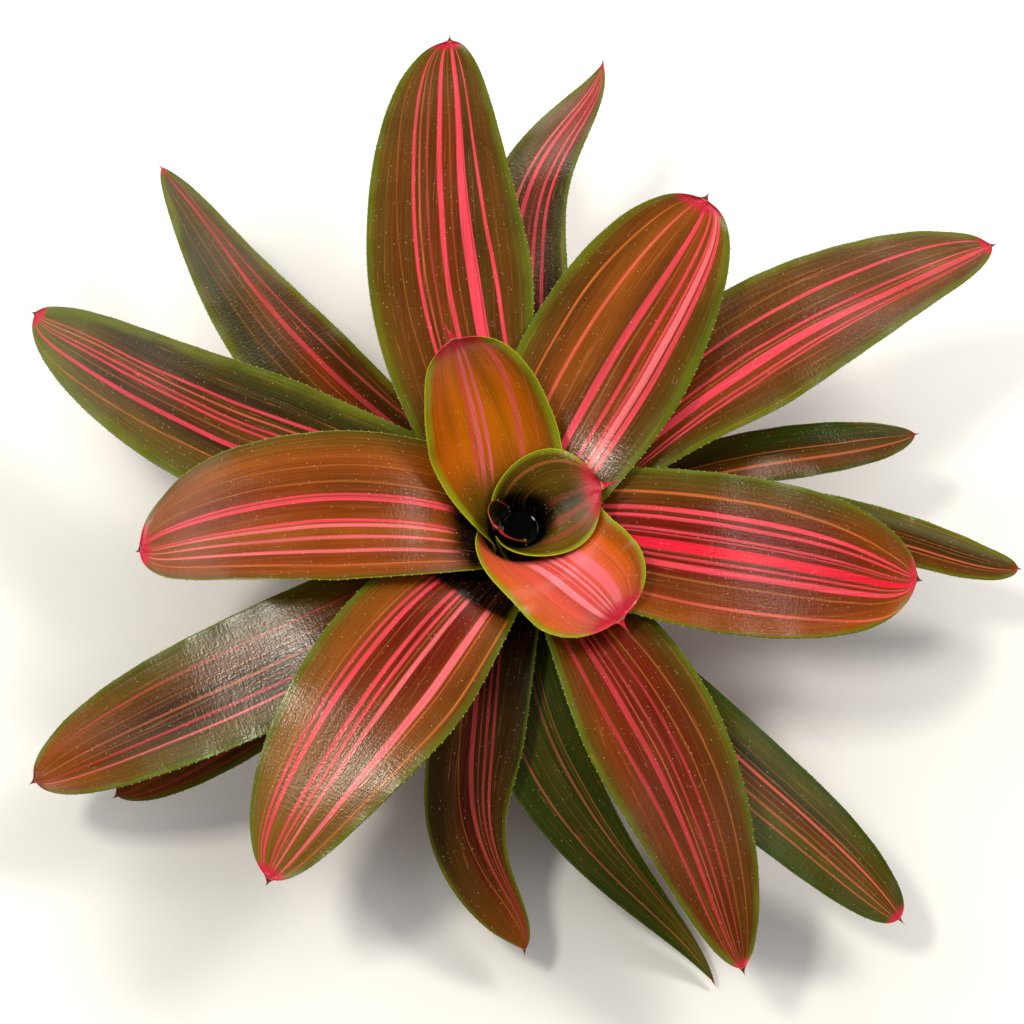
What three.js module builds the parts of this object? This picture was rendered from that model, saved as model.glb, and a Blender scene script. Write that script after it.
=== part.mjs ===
// A striped tank bromeliad: one rosette of twenty-one strap leaves round a short cut stem.
// Millimetres, +Z up. The origin is the middle of the flat cut under the stem, and -Y is the
// side that the plant was looked at from, out of a steep angle above.
import * as THREE from "three";

// Stem: a short upright cone that the leaf bases clasp.
const stemFootRadius = 20;
const stemTopRadius = 9;
const stemHeight = 64;
const stemBevel = 1.5;
const stemSides = 28;

// Rain water that stands in the cup of the innermost leaf.
const waterRadius = 9.2;
const waterBottom = 64.4;
const waterTop = 92;
const waterSides = 24;

// Leaf bases (sheaths): each level outward starts lower on the stem and opens wider. The
// throat is where a sheath becomes a blade. Up to throatTurnLevel throats widen faster.
const lastLevel = 20;
const rootLowest = 6;
const rootPitch = 2.6;
const rootGap = 0.6;
const rootSlopeInnermost = 58;
const rootWrapInnermost = 1.7;
const rootWrapDrop = 0.02;
const throatHighest = 98;
const throatDrop = 1.9;
const throatRadiusInnermost = 9.5;
const throatPitchInner = 2.6;
const throatPitchOuter = 1.6;
const throatTurnLevel = 4;
const throatSlopeInnermost = 80;
const throatSlopeDrop = 1.6;
const sheathShare = 0.22;

// Thickness of the sheath, of the middle of the blade and of its margin.
const sheathThickness = 0.65;
const bladeThickness = 0.95;
const edgeThickness = 0.65;

// How far a blade's cross-section follows the round of the rosette while it still climbs,
// and the longest straight climb out of a throat.
const followShare = 0.8;
const longestRise = 60;

// Shares of the blade between which the narrower side draws in.
const trimStart = 0.5;
const trimEnd = 0.95;

// Teeth along the margins and the spine on the end of each leaf.
const toothBase = 1.6;
const toothHeight = 1.1;
const toothLean = 0.5;
const tipHalfWidth = 0.9;
const spineLift = 0.25;

// Stations along a leaf (share of the blade) and rows of facets in its sheath.
const sheathRows = 4;
const bladeStations = [0, 0.1, 0.21, 0.33, 0.46, 0.59, 0.71, 0.82, 0.9, 0.955, 0.985, 1];
const firstToothRow = 1;
const lastToothRow = 8;

// What a leaf has unless its own line below says otherwise. Angles are degrees.
//   level: place in the spiral, 0 at the heart and 20 outermost
//   heading: direction of the base, counter-clockwise from +X seen from above
//   turn, turnPower: how far the blade swings sideways by its tip, and how late
//   reach, tipHeight, tipSlope: where the tip is and how it points
//   width: full width at the widest place, which widest gives as a share of the blade
//   neck: width at the throat as a share of width; wrap: most it may clasp there, radians
//   bluntness: the two powers of the rounded end
//   trim: share by which one side narrows toward the tip, the left side where positive
//   roll: turn of the blade about its own middle line by its tip
//   rise: how strongly the slopes of the throat and of the tip hold along the blade
//   flatten: shares of the blade between which it leaves the round of the sheath
//   wider: extra radius of the throat
//   columns: facets across; spine: length of the spine on the end
const plainLeaf = {
  turn: 0,
  turnPower: 1,
  width: 70,
  widest: 0.55,
  neck: 0.78,
  wrap: 2,
  bluntness: [2.6, 0.5],
  trim: 0,
  roll: 0,
  rise: [0.2, 0.42],
  flatten: [0, 0.32],
  wider: 0,
  columns: 10,
  spine: 5,
};

const leaves = [
  { name: "leaf_01", level: -1.2, wider: 3.3, heading: 205, turn: 20, reach: 15,
    tipHeight: 113, tipSlope: 75, width: 30, neck: 0.9, wrap: 1.45, widest: 0.35,
    bluntness: [1.6, 0.8], spine: 3, columns: 8 },
  { name: "leaf_02", level: 0.2, wider: 3.4, heading: 14, reach: 40.5, tipHeight: 118,
    tipSlope: 18, width: 77, neck: 1, wrap: 3.1, widest: 0.3, bluntness: [2, 0.75],
    flatten: [0.2, 1], columns: 16, spine: 8 },
  { name: "leaf_03", level: 1.8, wider: 1.7, heading: 110, turn: 6, turnPower: 2,
    reach: 74, tipHeight: 162, tipSlope: 66, width: 66, neck: 0.9, widest: 0.5,
    trim: 0.2, bluntness: [2.6, 0.45], rise: [0.12, 0.5], spine: 8 },
  { name: "leaf_04", level: 3, wider: 1.2, heading: -59, turn: 9, reach: 72,
    tipHeight: 110, tipSlope: -38, width: 66, neck: 1.2, wrap: 2.7, widest: 0.5,
    bluntness: [3.2, 0.5], rise: [0.38, 0.5], columns: 12, spine: 8 },
  { name: "leaf_05", level: 4, heading: 178.5, turn: 5.3, turnPower: 3, reach: 183,
    tipHeight: 93, tipSlope: -32, width: 79, trim: 0.2, bluntness: [2.8, 0.47] },
  { name: "leaf_06", level: 5, heading: 63, turn: -2.8, reach: 186, tipHeight: 132,
    tipSlope: 10, width: 85, trim: -0.15, bluntness: [2.6, 0.45] },
  { name: "leaf_07", level: 6, heading: -12.3, turn: 5.3, turnPower: 3, reach: 193,
    tipHeight: 84, tipSlope: -22, width: 83 },
  { name: "leaf_08", level: 7, heading: 231.5, turn: 5, reach: 208, tipHeight: 84,
    tipSlope: -25, width: 79, neck: 0.66, trim: 0.3, bluntness: [2.3, 0.54] },
  { name: "leaf_09", level: 8, heading: 115.5, turn: -17.8, reach: 268, tipHeight: 120,
    tipSlope: 2, width: 84, neck: 0.6, widest: 0.62, trim: -0.45,
    bluntness: [2.6, 0.47] },
  { name: "leaf_10", level: 9, heading: -57, turn: -6.5, turnPower: 1.8, reach: 231,
    tipHeight: 52, tipSlope: -28, width: 66, neck: 0.42, widest: 0.58, trim: -0.3,
    bluntness: [1.9, 0.57] },
  { name: "leaf_11", level: 10, heading: 165.3, turn: -12.5, turnPower: 2.1, reach: 278,
    tipHeight: 78, tipSlope: -15, width: 73, trim: -0.42 },
  { name: "leaf_12", level: 11, heading: 42, turn: -9.2, turnPower: 1.6, reach: 286,
    tipHeight: 98, tipSlope: -6, width: 72, neck: 0.55, widest: 0.65, trim: -0.52,
    bluntness: [2.4, 0.52] },
  { name: "leaf_13", level: 12, heading: 216, turn: -10.1, reach: 260, tipHeight: 47,
    tipSlope: -22, width: 62 },
  { name: "leaf_14", level: 13, heading: -101.5, turn: 12.2, turnPower: 8, reach: 190,
    tipHeight: 24, tipSlope: -30, width: 46, widest: 0.65, trim: 0.6,
    bluntness: [2.6, 0.6], columns: 8 },
  { name: "leaf_15", level: 14, heading: 90, turn: -9.2, turnPower: 8, reach: 278,
    tipHeight: 88, tipSlope: 0, width: 52, roll: -15, widest: 0.45,
    bluntness: [1.8, 0.8], columns: 8 },
  { name: "leaf_16", level: 15, heading: -56.5, turn: 11.9, reach: 254, tipHeight: 34,
    tipSlope: -22, width: 46, neck: 0.6, bluntness: [2.6, 0.45], columns: 8 },
  { name: "leaf_17", level: 16, heading: 145.3, turn: -14.7, turnPower: 1.5, reach: 292,
    tipHeight: 68, tipSlope: -6, width: 54, widest: 0.45, trim: -0.5,
    bluntness: [2.2, 0.62], columns: 8 },
  { name: "leaf_18", level: 17, heading: 26, turn: -7.2, reach: 213, tipHeight: 57,
    tipSlope: -15, width: 30, neck: 0.6, widest: 0.65, bluntness: [2.6, 0.6],
    columns: 8, spine: 4 },
  { name: "leaf_19", level: 18, heading: 211, turn: -1, reach: 228, tipHeight: 26,
    tipSlope: -20, width: 50, bluntness: [2.6, 0.6], columns: 8, spine: 4 },
  { name: "leaf_20", level: 19, heading: -92, turn: 27, turnPower: 1.45, reach: 222,
    tipHeight: 4, tipSlope: -25, width: 42, widest: 0.4, trim: 0.6,
    bluntness: [1.8, 0.8], columns: 8, spine: 4 },
  { name: "leaf_21", level: 20, heading: 9, turn: -9.4, turnPower: 2.5, reach: 250,
    tipHeight: 47, tipSlope: -15, width: 29, bluntness: [3.2, 0.45], columns: 8,
    spine: 4 },
];

const radians = Math.PI / 180;

const clamp = (x, low, high) => Math.min(high, Math.max(low, x));

// Goes from 0 at a to 1 at b with level ends.
function ease(a, b, x) {
  const t = clamp((x - a) / (b - a), 0, 1);
  return t * t * (3 - 2 * t);
}

// Cubic curve through the first and last of four [radius, height] points.
function curvePoint(points, t) {
  const s = 1 - t;
  const weights = [s * s * s, 3 * s * s * t, 3 * s * t * t, t * t * t];
  return [0, 1].map((k) => points.reduce((sum, p, i) => sum + weights[i] * p[k], 0));
}

const stepFrom = (point, slope, length) => [
  point[0] + Math.cos(slope * radians) * length,
  point[1] + Math.sin(slope * radians) * length,
];

// Radius of the stem's side at a height.
const stemRadius = (height) =>
  stemFootRadius - ((stemFootRadius - stemTopRadius) * height) / stemHeight;

// The two curves of a leaf in its upright plane: the sheath from the stem to the throat,
// then the blade from the throat to the tip. Both leave the throat at the same slope.
function leafCurves(leaf) {
  const { level } = leaf;
  const rootHeight = rootLowest + rootPitch * (lastLevel - level);
  const root = [stemRadius(rootHeight) + rootGap + sheathThickness / 2, rootHeight];
  const throatRadius =
    throatRadiusInnermost +
    throatPitchInner * Math.min(level, throatTurnLevel) +
    throatPitchOuter * Math.max(level - throatTurnLevel, 0);
  const throat = [throatRadius + leaf.wider, throatHighest - throatDrop * level];
  const rootSlope = rootSlopeInnermost - level;
  const throatSlope = throatSlopeInnermost - throatSlopeDrop * level;
  const climb = Math.hypot(throat[0] - root[0], throat[1] - root[1]);
  const tip = [leaf.reach, leaf.tipHeight];
  const span = Math.hypot(tip[0] - throat[0], tip[1] - throat[1]);
  const start = Math.min(leaf.rise[0] * span, longestRise);
  return {
    sheath: [
      root,
      stepFrom(root, rootSlope, climb * 0.32),
      stepFrom(throat, throatSlope, -climb * 0.35),
      throat,
    ],
    blade: [
      throat,
      stepFrom(throat, throatSlope, start),
      stepFrom(tip, leaf.tipSlope, -span * leaf.rise[1]),
      tip,
    ],
  };
}

// Share of the blade that a place along the whole leaf has reached; under 0 in the sheath.
const bladeShare = (along) => (along - sheathShare) / (1 - sheathShare);

// Middle line: radius, height and heading (radians) at a place along the leaf, 0 to 1.
function middleLine(leaf, curves, along) {
  const u = clamp(bladeShare(along), 0, 1);
  const [radius, height] =
    along < sheathShare
      ? curvePoint(curves.sheath, along / sheathShare)
      : curvePoint(curves.blade, u);
  const heading = (leaf.heading + leaf.turn * ease(0, 1, u) ** leaf.turnPower) * radians;
  return { radius, height, heading };
}

function middlePoint(leaf, curves, along) {
  const { radius, height, heading } = middleLine(leaf, curves, along);
  return new THREE.Vector3(radius * Math.cos(heading), radius * Math.sin(heading), height);
}

// Half the width: from the clasping root to the neck, out to the widest place, then rounded
// off as (1 - x^p)^q down to the foot of the end spine.
function halfWidth(leaf, curves, along) {
  const u = bladeShare(along);
  const widest = leaf.width / 2;
  const rootHalf = (rootWrapInnermost - rootWrapDrop * leaf.level) * curves.sheath[0][0];
  const neck = Math.min(leaf.neck * widest, leaf.wrap * curves.blade[0][0]);
  if (u < 0) return rootHalf + (neck - rootHalf) * ease(-sheathShare / (1 - sheathShare), 0, u);
  if (u < leaf.widest) return neck + (widest - neck) * ease(0, leaf.widest, u);
  const x = clamp((u - leaf.widest) / (1 - leaf.widest), 0, 1);
  const [p, q] = leaf.bluntness;
  return Math.max(tipHalfWidth, widest * (1 - x ** p) ** q);
}

// A point of the leaf's middle surface. across goes -1 to 1 and along 0 to 1. In the sheath
// the leaf lies on a round of the stem's axis; in the blade it is a shallow gutter square to
// the middle line, whose bend eases off as the blade moves out from the axis.
function leafPoint(leaf, curves, across, along) {
  const { radius, height, heading } = middleLine(leaf, curves, along);
  const step = 1e-3;
  const ahead = middlePoint(leaf, curves, Math.min(along + step, 1));
  const tangent = ahead.sub(middlePoint(leaf, curves, Math.max(along - step, 0))).normalize();
  const side = new THREE.Vector3(-Math.sin(heading), Math.cos(heading), 0);
  side.addScaledVector(tangent, -side.dot(tangent)).normalize();
  const up = new THREE.Vector3().crossVectors(tangent, side);
  const u = clamp(bladeShare(along), 0, 1);
  const roll = leaf.roll * ease(0, 1, u) * radians;
  const rolledSide = side.clone().multiplyScalar(Math.cos(roll));
  rolledSide.addScaledVector(up, -Math.sin(roll));
  const rolledUp = up.clone().multiplyScalar(Math.cos(roll));
  rolledUp.addScaledVector(side, Math.sin(roll));

  const half = halfWidth(leaf, curves, along);
  const trimmed = across * leaf.trim > 0 ? 1 - Math.abs(leaf.trim) * ease(trimStart, trimEnd, u) : 1;
  const bend = Math.max(1e-3, (followShare * half * Math.abs(tangent.z)) / radius);
  const centre = new THREE.Vector3(
    radius * Math.cos(heading),
    radius * Math.sin(heading),
    height,
  );
  const gutter = centre
    .addScaledVector(rolledSide, (half * trimmed * Math.sin(bend * across)) / bend)
    .addScaledVector(rolledUp, (half * trimmed * (1 - Math.cos(bend * across))) / bend);

  const round = heading + (across * half) / radius;
  const clasp = new THREE.Vector3(radius * Math.cos(round), radius * Math.sin(round), height);
  return clasp.lerp(gutter, ease(leaf.flatten[0], leaf.flatten[1], bladeShare(along)));
}

// Direction square to the surface, out of the upper (inner) face.
function leafNormal(leaf, curves, across, along) {
  const step = 2e-3;
  const later = leafPoint(leaf, curves, across, Math.min(along + step, 0.999));
  const sooner = leafPoint(leaf, curves, across, Math.max(along - step, 0));
  const right = leafPoint(leaf, curves, across + step, along);
  const left = leafPoint(leaf, curves, across - step, along);
  return later.sub(sooner).cross(right.sub(left)).normalize();
}

function thickness(across, along) {
  const middle = bladeThickness + (edgeThickness - bladeThickness) * across * across;
  const opening = ease(sheathShare, 0.5, along);
  const closing = 1 - ease(0.9, 1, along);
  return sheathThickness + (middle - sheathThickness) * opening * closing;
}

// A closed solid of a leaf: an upper and a lower sheet of facets split alike, a rim between
// them with raised teeth, and a spine that closes the end.
function leafGeometry(leaf) {
  const curves = leafCurves(leaf);
  const places = [];
  for (let i = 0; i < sheathRows; i++) places.push((sheathShare * i) / sheathRows);
  for (const u of bladeStations) places.push(sheathShare + (1 - sheathShare) * u);
  const columns = leaf.columns;
  const vertices = [];
  const faces = [];
  const upper = [];
  const lower = [];
  const add = (point) => vertices.push(point) - 1;

  for (const along of places) {
    const upperRow = [];
    const lowerRow = [];
    for (let j = 0; j <= columns; j++) {
      const across = (2 * j) / columns - 1;
      const point = leafPoint(leaf, curves, across, along);
      const normal = leafNormal(leaf, curves, across, along);
      const half = thickness(across, along) / 2;
      upperRow.push(add(point.clone().addScaledVector(normal, half)));
      lowerRow.push(add(point.clone().addScaledVector(normal, -half)));
    }
    upper.push(upperRow);
    lower.push(lowerRow);
  }

  // Triangles of a flat ring of points, all from its first point.
  const fan = (points, turned) => {
    for (let k = 1; k + 1 < points.length; k++) {
      const [a, b, c] = [points[0], points[k], points[k + 1]];
      faces.push(turned ? [a, c, b] : [a, b, c]);
    }
  };

  // Tooth points along one margin between two rows, on both sheets, and the tooth's apex.
  const toothPoints = (row, column) => {
    const inner = column === 0 ? 1 : columns - 1;
    const [a, b] = [vertices[upper[row][column]], vertices[upper[row + 1][column]]];
    const [c, d] = [vertices[lower[row][column]], vertices[lower[row + 1][column]]];
    const length = a.distanceTo(b);
    const share = toothBase / 2 / length;
    const at = (p, q, t) => p.clone().lerp(q, t);
    const inside = vertices[upper[row][inner]].clone().add(vertices[upper[row + 1][inner]]);
    const edge = at(a, b, 0.5).add(at(c, d, 0.5)).multiplyScalar(0.5);
    const along = b.clone().sub(a).normalize();
    const out = edge.clone().sub(inside.multiplyScalar(0.5));
    out.addScaledVector(along, -out.dot(along)).normalize();
    const apex = edge.addScaledVector(out, toothHeight).addScaledVector(along, toothLean);
    return {
      upper: [add(at(a, b, 0.5 - share)), add(at(a, b, 0.5 + share))],
      lower: [add(at(c, d, 0.5 - share)), add(at(c, d, 0.5 + share))],
      apex: add(apex),
    };
  };

  for (let i = 0; i + 1 < places.length; i++) {
    const bladeRow = i - sheathRows;
    const toothed = bladeRow >= firstToothRow && bladeRow <= lastToothRow;
    const teeth = toothed ? [toothPoints(i, 0), toothPoints(i, columns)] : [];
    // Both sheets, cell by cell. The cells at the margins take in the foot of a tooth.
    for (let j = 0; j < columns; j++) {
      for (const [sheet, side] of [[upper, "upper"], [lower, "lower"]]) {
        const [a, b] = [sheet[i][j], sheet[i + 1][j]];
        const [c, d] = [sheet[i + 1][j + 1], sheet[i][j + 1]];
        const left = toothed && j === 0 ? teeth[0][side] : [];
        const right = toothed && j === columns - 1 ? [teeth[1][side][1], teeth[1][side][0]] : [];
        fan(left.length ? [c, d, a, ...left, b] : [a, b, c, ...right, d], side === "lower");
      }
    }
    // Rim on both margins; a tooth is a small pyramid on the middle of its stretch.
    for (const [column, tooth] of [[0, teeth[0]], [columns, teeth[1]]]) {
      const turned = column === columns;
      const wall = (a, b, c, d) => fan([a, b, c, d], turned);
      const [a, b] = [upper[i][column], upper[i + 1][column]];
      const [c, d] = [lower[i][column], lower[i + 1][column]];
      if (!tooth) {
        wall(a, c, d, b);
        continue;
      }
      const [e, f] = tooth.upper;
      const [g, h] = tooth.lower;
      wall(a, c, g, e);
      wall(f, h, d, b);
      const ring = [e, g, h, f];
      ring.forEach((p, k) => fan([tooth.apex, p, ring[(k + 1) % 4]], turned));
    }
  }

  // Root end closed flat, tip end drawn out to the spine.
  const last = places.length - 1;
  const end = middlePoint(leaf, curves, 1);
  const outward = end.clone().sub(middlePoint(leaf, curves, 0.998)).normalize();
  outward.z += spineLift;
  const apex = add(end.addScaledVector(outward.normalize(), leaf.spine));
  for (let j = 0; j < columns; j++) {
    fan([upper[0][j], upper[0][j + 1], lower[0][j + 1], lower[0][j]], false);
    fan([apex, upper[last][j + 1], upper[last][j]], false);
    fan([apex, lower[last][j], lower[last][j + 1]], false);
  }
  fan([apex, upper[last][0], lower[last][0]], false);
  fan([apex, lower[last][columns], upper[last][columns]], false);

  const geometry = new THREE.BufferGeometry();
  const numbers = vertices.flatMap((v) => [v.x, v.y, v.z]);
  geometry.setAttribute("position", new THREE.Float32BufferAttribute(numbers, 3));
  geometry.setIndex(faces.flat());
  geometry.computeVertexNormals();
  return geometry;
}

// Solid of revolution about +Z from [radius, height] pairs that start and end on the axis.
function turned(profile, sides) {
  const points = profile.map(([r, z]) => new THREE.Vector2(r, z));
  return new THREE.LatheGeometry(points, sides).rotateX(Math.PI / 2);
}

const group = new THREE.Group();
function addMesh(name, geometry, color, roughness) {
  const material = new THREE.MeshStandardMaterial({ color, roughness });
  const mesh = new THREE.Mesh(geometry, material);
  mesh.name = name;
  group.add(mesh);
}

addMesh(
  "stem",
  turned(
    [
      [0, 0],
      [stemFootRadius - stemBevel, 0],
      [stemRadius(stemBevel), stemBevel],
      [stemRadius(stemHeight - stemBevel), stemHeight - stemBevel],
      [stemTopRadius - stemBevel, stemHeight],
      [0, stemHeight],
    ],
    stemSides,
  ),
  "#6b5a3a",
  0.8,
);

addMesh(
  "tank_water",
  turned(
    [
      [0, waterBottom],
      [waterRadius, waterBottom],
      [waterRadius, waterTop],
      [0, waterTop],
    ],
    waterSides,
  ),
  "#1a1d12",
  0.05,
);

const leafColors = ["#8a3a2a", "#7a3b22", "#5f4a1e", "#4c5a20"];
leaves.forEach((own, index) => {
  const leaf = { ...plainLeaf, ...own };
  addMesh(leaf.name, leafGeometry(leaf), leafColors[Math.floor(index / 6)], 0.4);
});

export default group;
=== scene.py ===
# Striped tank bromeliad, seen from steep above: twenty-one strap leaves, a cut stem and the
# rain water in the cup. Shapes are worked out in millimetres and put into meshes in metres.
import math

import bpy
import numpy as np
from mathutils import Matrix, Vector


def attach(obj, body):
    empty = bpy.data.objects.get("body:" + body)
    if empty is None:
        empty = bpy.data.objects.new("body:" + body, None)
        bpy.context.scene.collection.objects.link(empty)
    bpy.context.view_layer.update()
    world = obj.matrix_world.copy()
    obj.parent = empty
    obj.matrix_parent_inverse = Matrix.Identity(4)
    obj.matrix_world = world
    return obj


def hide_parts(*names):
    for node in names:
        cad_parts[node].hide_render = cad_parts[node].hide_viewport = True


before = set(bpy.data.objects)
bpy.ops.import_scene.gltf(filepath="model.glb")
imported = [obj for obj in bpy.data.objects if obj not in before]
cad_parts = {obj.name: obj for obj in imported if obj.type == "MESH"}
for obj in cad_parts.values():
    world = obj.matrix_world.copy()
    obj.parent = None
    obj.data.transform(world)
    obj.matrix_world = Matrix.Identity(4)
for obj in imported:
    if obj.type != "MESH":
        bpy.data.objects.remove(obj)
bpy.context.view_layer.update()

print("frame loaded:", len(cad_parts), "nodes")

metre = 0.001  # one millimetre in metres


def linear(hexColour, alpha=1.0):
    # sRGB hex to linear: c / 12.92 under 0.04045, else ((c + 0.055) / 1.055) ^ 2.4
    values = [int(hexColour[i:i + 2], 16) / 255 for i in (1, 3, 5)]
    return [c / 12.92 if c < 0.04045 else ((c + 0.055) / 1.055) ** 2.4 for c in values] + [alpha]


def addNode(tree, kind, links=None, **settings):
    # one shader node with its settings; a link's source is a socket, a node, whose first
    # output in use is then taken, or a plain value
    node = tree.nodes.new("ShaderNode" + kind)
    for name, value in settings.items():
        setattr(node, name, value)
    for socket, source in (links or {}).items():
        if isinstance(source, bpy.types.Node):
            source = next(output for output in source.outputs if output.enabled)
        if isinstance(source, bpy.types.NodeSocket):
            tree.links.new(source, node.inputs[socket])
        else:
            node.inputs[socket].default_value = source
    return node


def fillRamp(node, stops):
    # colour stops (place 0..1, linear colour with alpha) of a ramp, in rising order
    ramp = node.color_ramp
    stops = sorted(stops, key=lambda stop: stop[0])
    ramp.elements[0].position, ramp.elements[0].color = stops[0]
    ramp.elements[-1].position, ramp.elements[-1].color = stops[-1]
    for place, colour in stops[1:-1]:
        ramp.elements.new(place).color = colour
    return node


def newMaterial(name):
    # an empty node tree that ends in one principled shader
    material = bpy.data.materials.new(name)
    material.use_nodes = True
    tree = material.node_tree
    tree.nodes.clear()
    shader = addNode(tree, "BsdfPrincipled")
    addNode(tree, "OutputMaterial", {"Surface": shader})
    return material, tree, shader


def newPiece(name, points, faces, node, slot, material, attributes=None):
    # a smooth mesh piece from points in mm and face index arrays, riding on the one body
    mesh = bpy.data.meshes.new(name)
    mesh.from_pydata((points * metre).tolist(), [], [f for block in faces for f in block.tolist()])
    mesh.polygons.foreach_set("use_smooth", np.ones(len(mesh.polygons), bool))
    for key, values in (attributes or {}).items():
        layer = mesh.attributes.new(key, "FLOAT_VECTOR", "POINT")
        layer.data.foreach_set("vector", values.astype(np.float32).ravel())
    mesh.materials.append(material)
    mesh.validate()
    piece = bpy.data.objects.new(name, mesh)
    bpy.context.scene.collection.objects.link(piece)
    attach(piece, "root")
    if node:
        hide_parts(node)
    return piece


# Stem and rosette: what all leaf bases share, in mm and degrees
rosette = dict(
    stemFootRadius=20, stemTopRadius=9, stemHeight=64,
    lastLevel=20, rootLowest=6, rootPitch=2.6, rootGap=0.6,
    rootSlopeInnermost=58, rootWrapInnermost=1.7, rootWrapDrop=0.02,
    throatHighest=98, throatDrop=1.9, throatRadiusInnermost=9.5,
    throatPitchInner=2.6, throatPitchOuter=1.6, throatTurnLevel=4,
    throatSlopeInnermost=80, throatSlopeDrop=1.6, sheathShare=0.22,
    sheathThickness=0.65, bladeThickness=0.95, edgeThickness=0.65,
    followShare=0.8, longestRise=60, trimShares=(0.5, 0.95),
)

# Colours of the living tissue: darks, flesh, greens, stripes, and the horny parts. The first, near black
# one is no tissue colour but painted shade in the throats and the cup.
tissue = dict(
    paintedShadeBlack="#0C0903", darkUmber="#3A1F04", darkOlive="#2C2A08", dark="#4E120C", maroonDark="#4A1206",
    maroon="#6E1604", russet="#6C2606", rust="#7E3206", umber="#5F3205", sienna="#954A08",
    amber="#BE5E02", gold="#CE6C00", orangeFlesh="#D05A06", salmonFlesh="#D85A38",
    roseFlesh="#A84A3C", rosePink="#DC4A46",
    olive="#5E480A", greyOlive="#5A5430", khaki="#7E5C1A", moss="#4A4C0A", fern="#33460A",
    leafGreen="#5E680E", lime="#8A9A14", yellowEdge="#BEBC1E",
    ochre="#B4662C", orange="#D06A2E", coral="#C2643E", salmon="#DC6048", rose="#B43E3A",
    crimson="#C0383C", deepPink="#DA3C4C", pink="#EE4656", light="#F76E74", palePink="#FF8088",
    red="#EE1C3A",
    tip="#C81E3A", spine="#7A2230", tooth="#A8A45C", scale="#D8C8A4",
)

# What a leaf has unless its own line says otherwise. Angles are degrees, sizes mm.
#   level: order of growth, 0 inside and 20 outside; wider: how far the throat is moved out
#   heading, turn, turnPower: direction from +X, its change along the blade, how late it comes
#   reach, tipHeight, tipSlope: distance from the axis and height of the tip, and its slope
#   width, widest: full width, and the share of the blade where it has it
#   neck, wrap: width at the throat as a share of it, at most wrap throat radii to a side
#   bluntness: the two powers of the outline from the widest place to the tip
#   trim: share that is missing on one side, the right one if negative; roll: twist at the tip
#   rise: how long the blade keeps its slope at the throat and at the tip, in shares of it
#   flatten: shares of the blade over which the sheath opens into a gutter
#   beak: half the width left at the tip
#   spine, hook, throw: length of the end spine, and how far it turns up and outward
#   ground: colours across the blade, evenly spaced from its right edge to its left edge
#   margin, marginTone: width and colour of the greener border; edge: colour of the very rim
#   foot, footSpan: colour at the base and the shares of the blade over which it goes; where it is near
#       black it is painted shade of the throat
#   crown, crownFrom, crownShare: colour toward the tip, where it begins, its strength
#   blush, tipTone, spineTone: length and colour of the tinted end, colour of the spine
#   gloss: roughness of the cuticle where the veins stand high
#   lean, swing: how the stripes drift across toward the tip, evenly and in its last part
#   stripes: place across, -1 at the right edge and 1 at the left one; width as a share of
#     half the blade; colour; strength
plainLeaf = dict(
    turn=0, turnPower=1, width=70, widest=0.55, neck=0.78, wrap=2, bluntness=(2.6, 0.5),
    trim=0, roll=0, rise=(0.2, 0.42), flatten=(0, 0.32), wider=0, beak=2.6, spine=5, hook=0.25,
    slot="striped_leaf", margin=4, marginTone="leafGreen", edge="leafGreen",
    foot="darkUmber", footSpan=(0.04, 0.4), crown="sienna", crownFrom=0.7, crownShare=0.4,
    blush=11, tipTone="tip", spineTone="spine", gloss=0.3, throw=0, lean=0, swing=0,
)

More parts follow.
